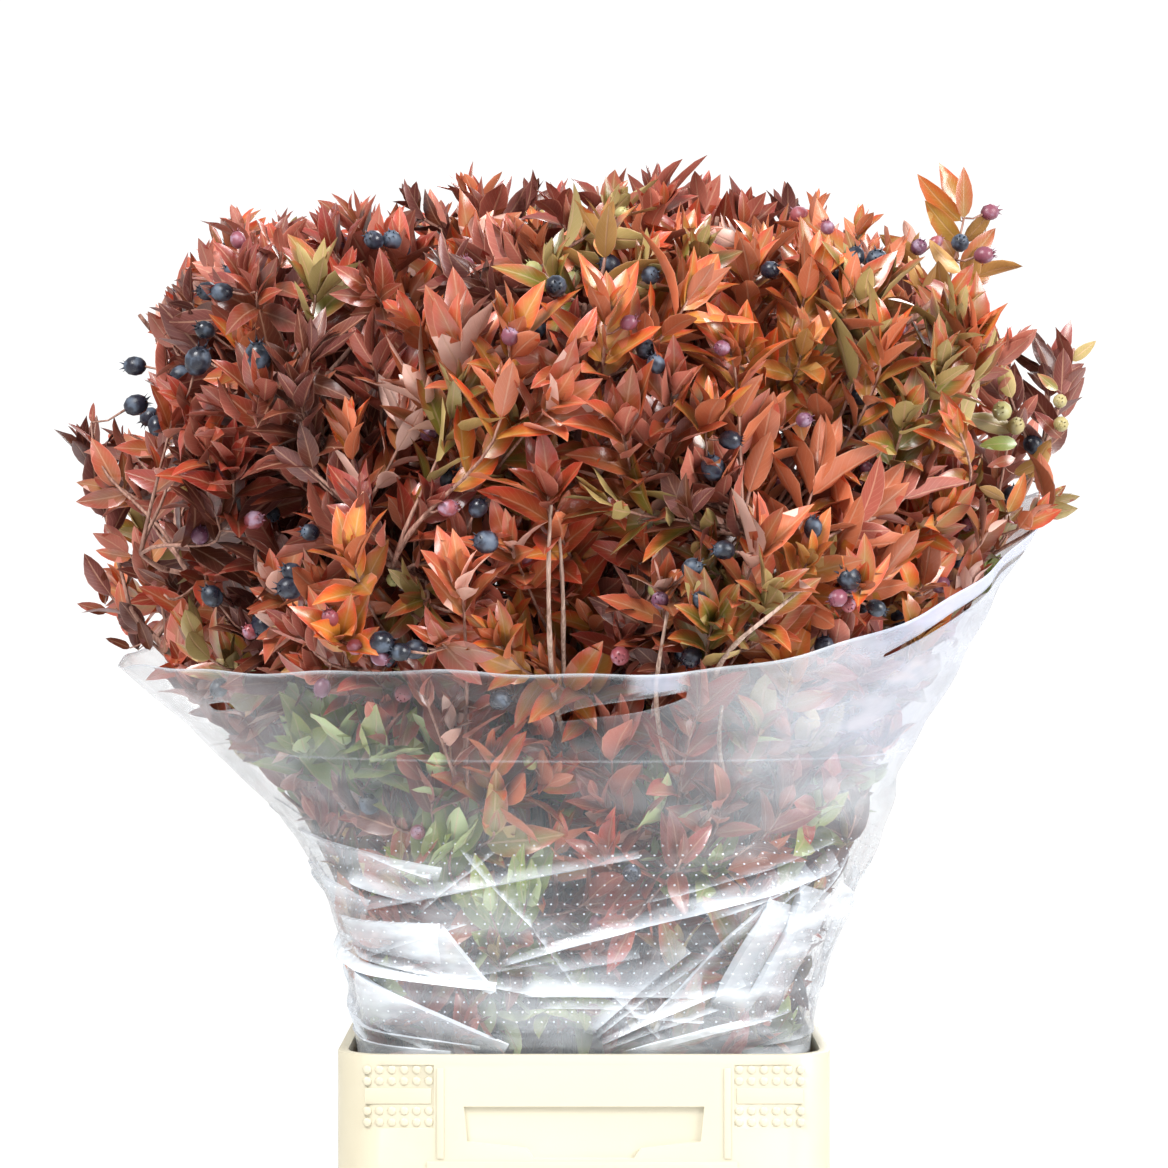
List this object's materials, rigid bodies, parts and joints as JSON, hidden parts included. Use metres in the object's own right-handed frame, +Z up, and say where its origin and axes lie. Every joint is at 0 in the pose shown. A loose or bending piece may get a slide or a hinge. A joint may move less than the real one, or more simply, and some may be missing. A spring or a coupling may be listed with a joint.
{
  "type": "common myrtle bunch in container",
  "caption": "Bunch of cut berried common myrtle in red autumn leaf, held in a clear film sleeve and standing in a moulded flower container.",
  "frame": {"origin": "middle of the container's flat underside", "axes": "+Z up along the bunch, +X to the right and -Y towards the viewer of the pictured side, +Y along the container's long side"},
  "size_m": [0.6647, 0.6331, 0.8818],
  "materials": {
    "container": "satin cream moulded plastic",
    "sleeve": "clear glossy film",
    "bark": "rough grey-brown bark",
    "rust": "satin rust-red leaf",
    "copper": "satin orange-red leaf",
    "maroon": "satin dark maroon leaf",
    "olive": "satin olive leaf"
  },
  "bodies": {
    "root": {"container": "container", "sleeve": "sleeve", "stem_crown_top_1": "bark", "stem_crown_top_2": "bark", "stem_crown_top_3": "bark", "stem_crown_top_4": "bark", "stem_shoulder_1": "bark", "stem_shoulder_2": "bark", "stem_shoulder_3": "bark", "stem_shoulder_4": "bark", "stem_shoulder_5": "bark", "stem_shoulder_6": "bark", "stem_shoulder_7": "bark", "stem_shoulder_8": "bark", "stem_flank_1": "bark", "stem_flank_2": "bark", "stem_flank_3": "bark", "stem_flank_4": "bark", "stem_flank_5": "bark", "stem_flank_6": "bark", "stem_flank_7": "bark", "stem_flank_8": "bark", "stem_sprig_top_right": "bark", "stem_sprig_far_right": "bark", "stem_sprig_left": "bark", "crown_top_1": "copper", "crown_top_2": "rust", "crown_top_3": "copper", "crown_top_4": "rust", "shoulder_1": "copper", "shoulder_2": "rust", "shoulder_3": "rust", "shoulder_4": "copper", "shoulder_5": "rust", "shoulder_6": "rust", "shoulder_7": "copper", "shoulder_8": "rust", "flank_1": "maroon", "flank_2": "rust", "flank_3": "olive", "flank_4": "maroon", "flank_5": "rust", "flank_6": "olive", "flank_7": "maroon", "flank_8": "rust", "sprig_top_right": "olive", "sprig_far_right": "maroon", "sprig_left": "rust", "sleeve_leaves_1": "olive", "sleeve_leaves_2": "rust", "sleeve_leaves_3": "olive", "sleeve_leaves_4": "rust", "sleeve_leaves_5": "olive", "sleeve_leaves_6": "rust"}
  },
  "joints": []
}
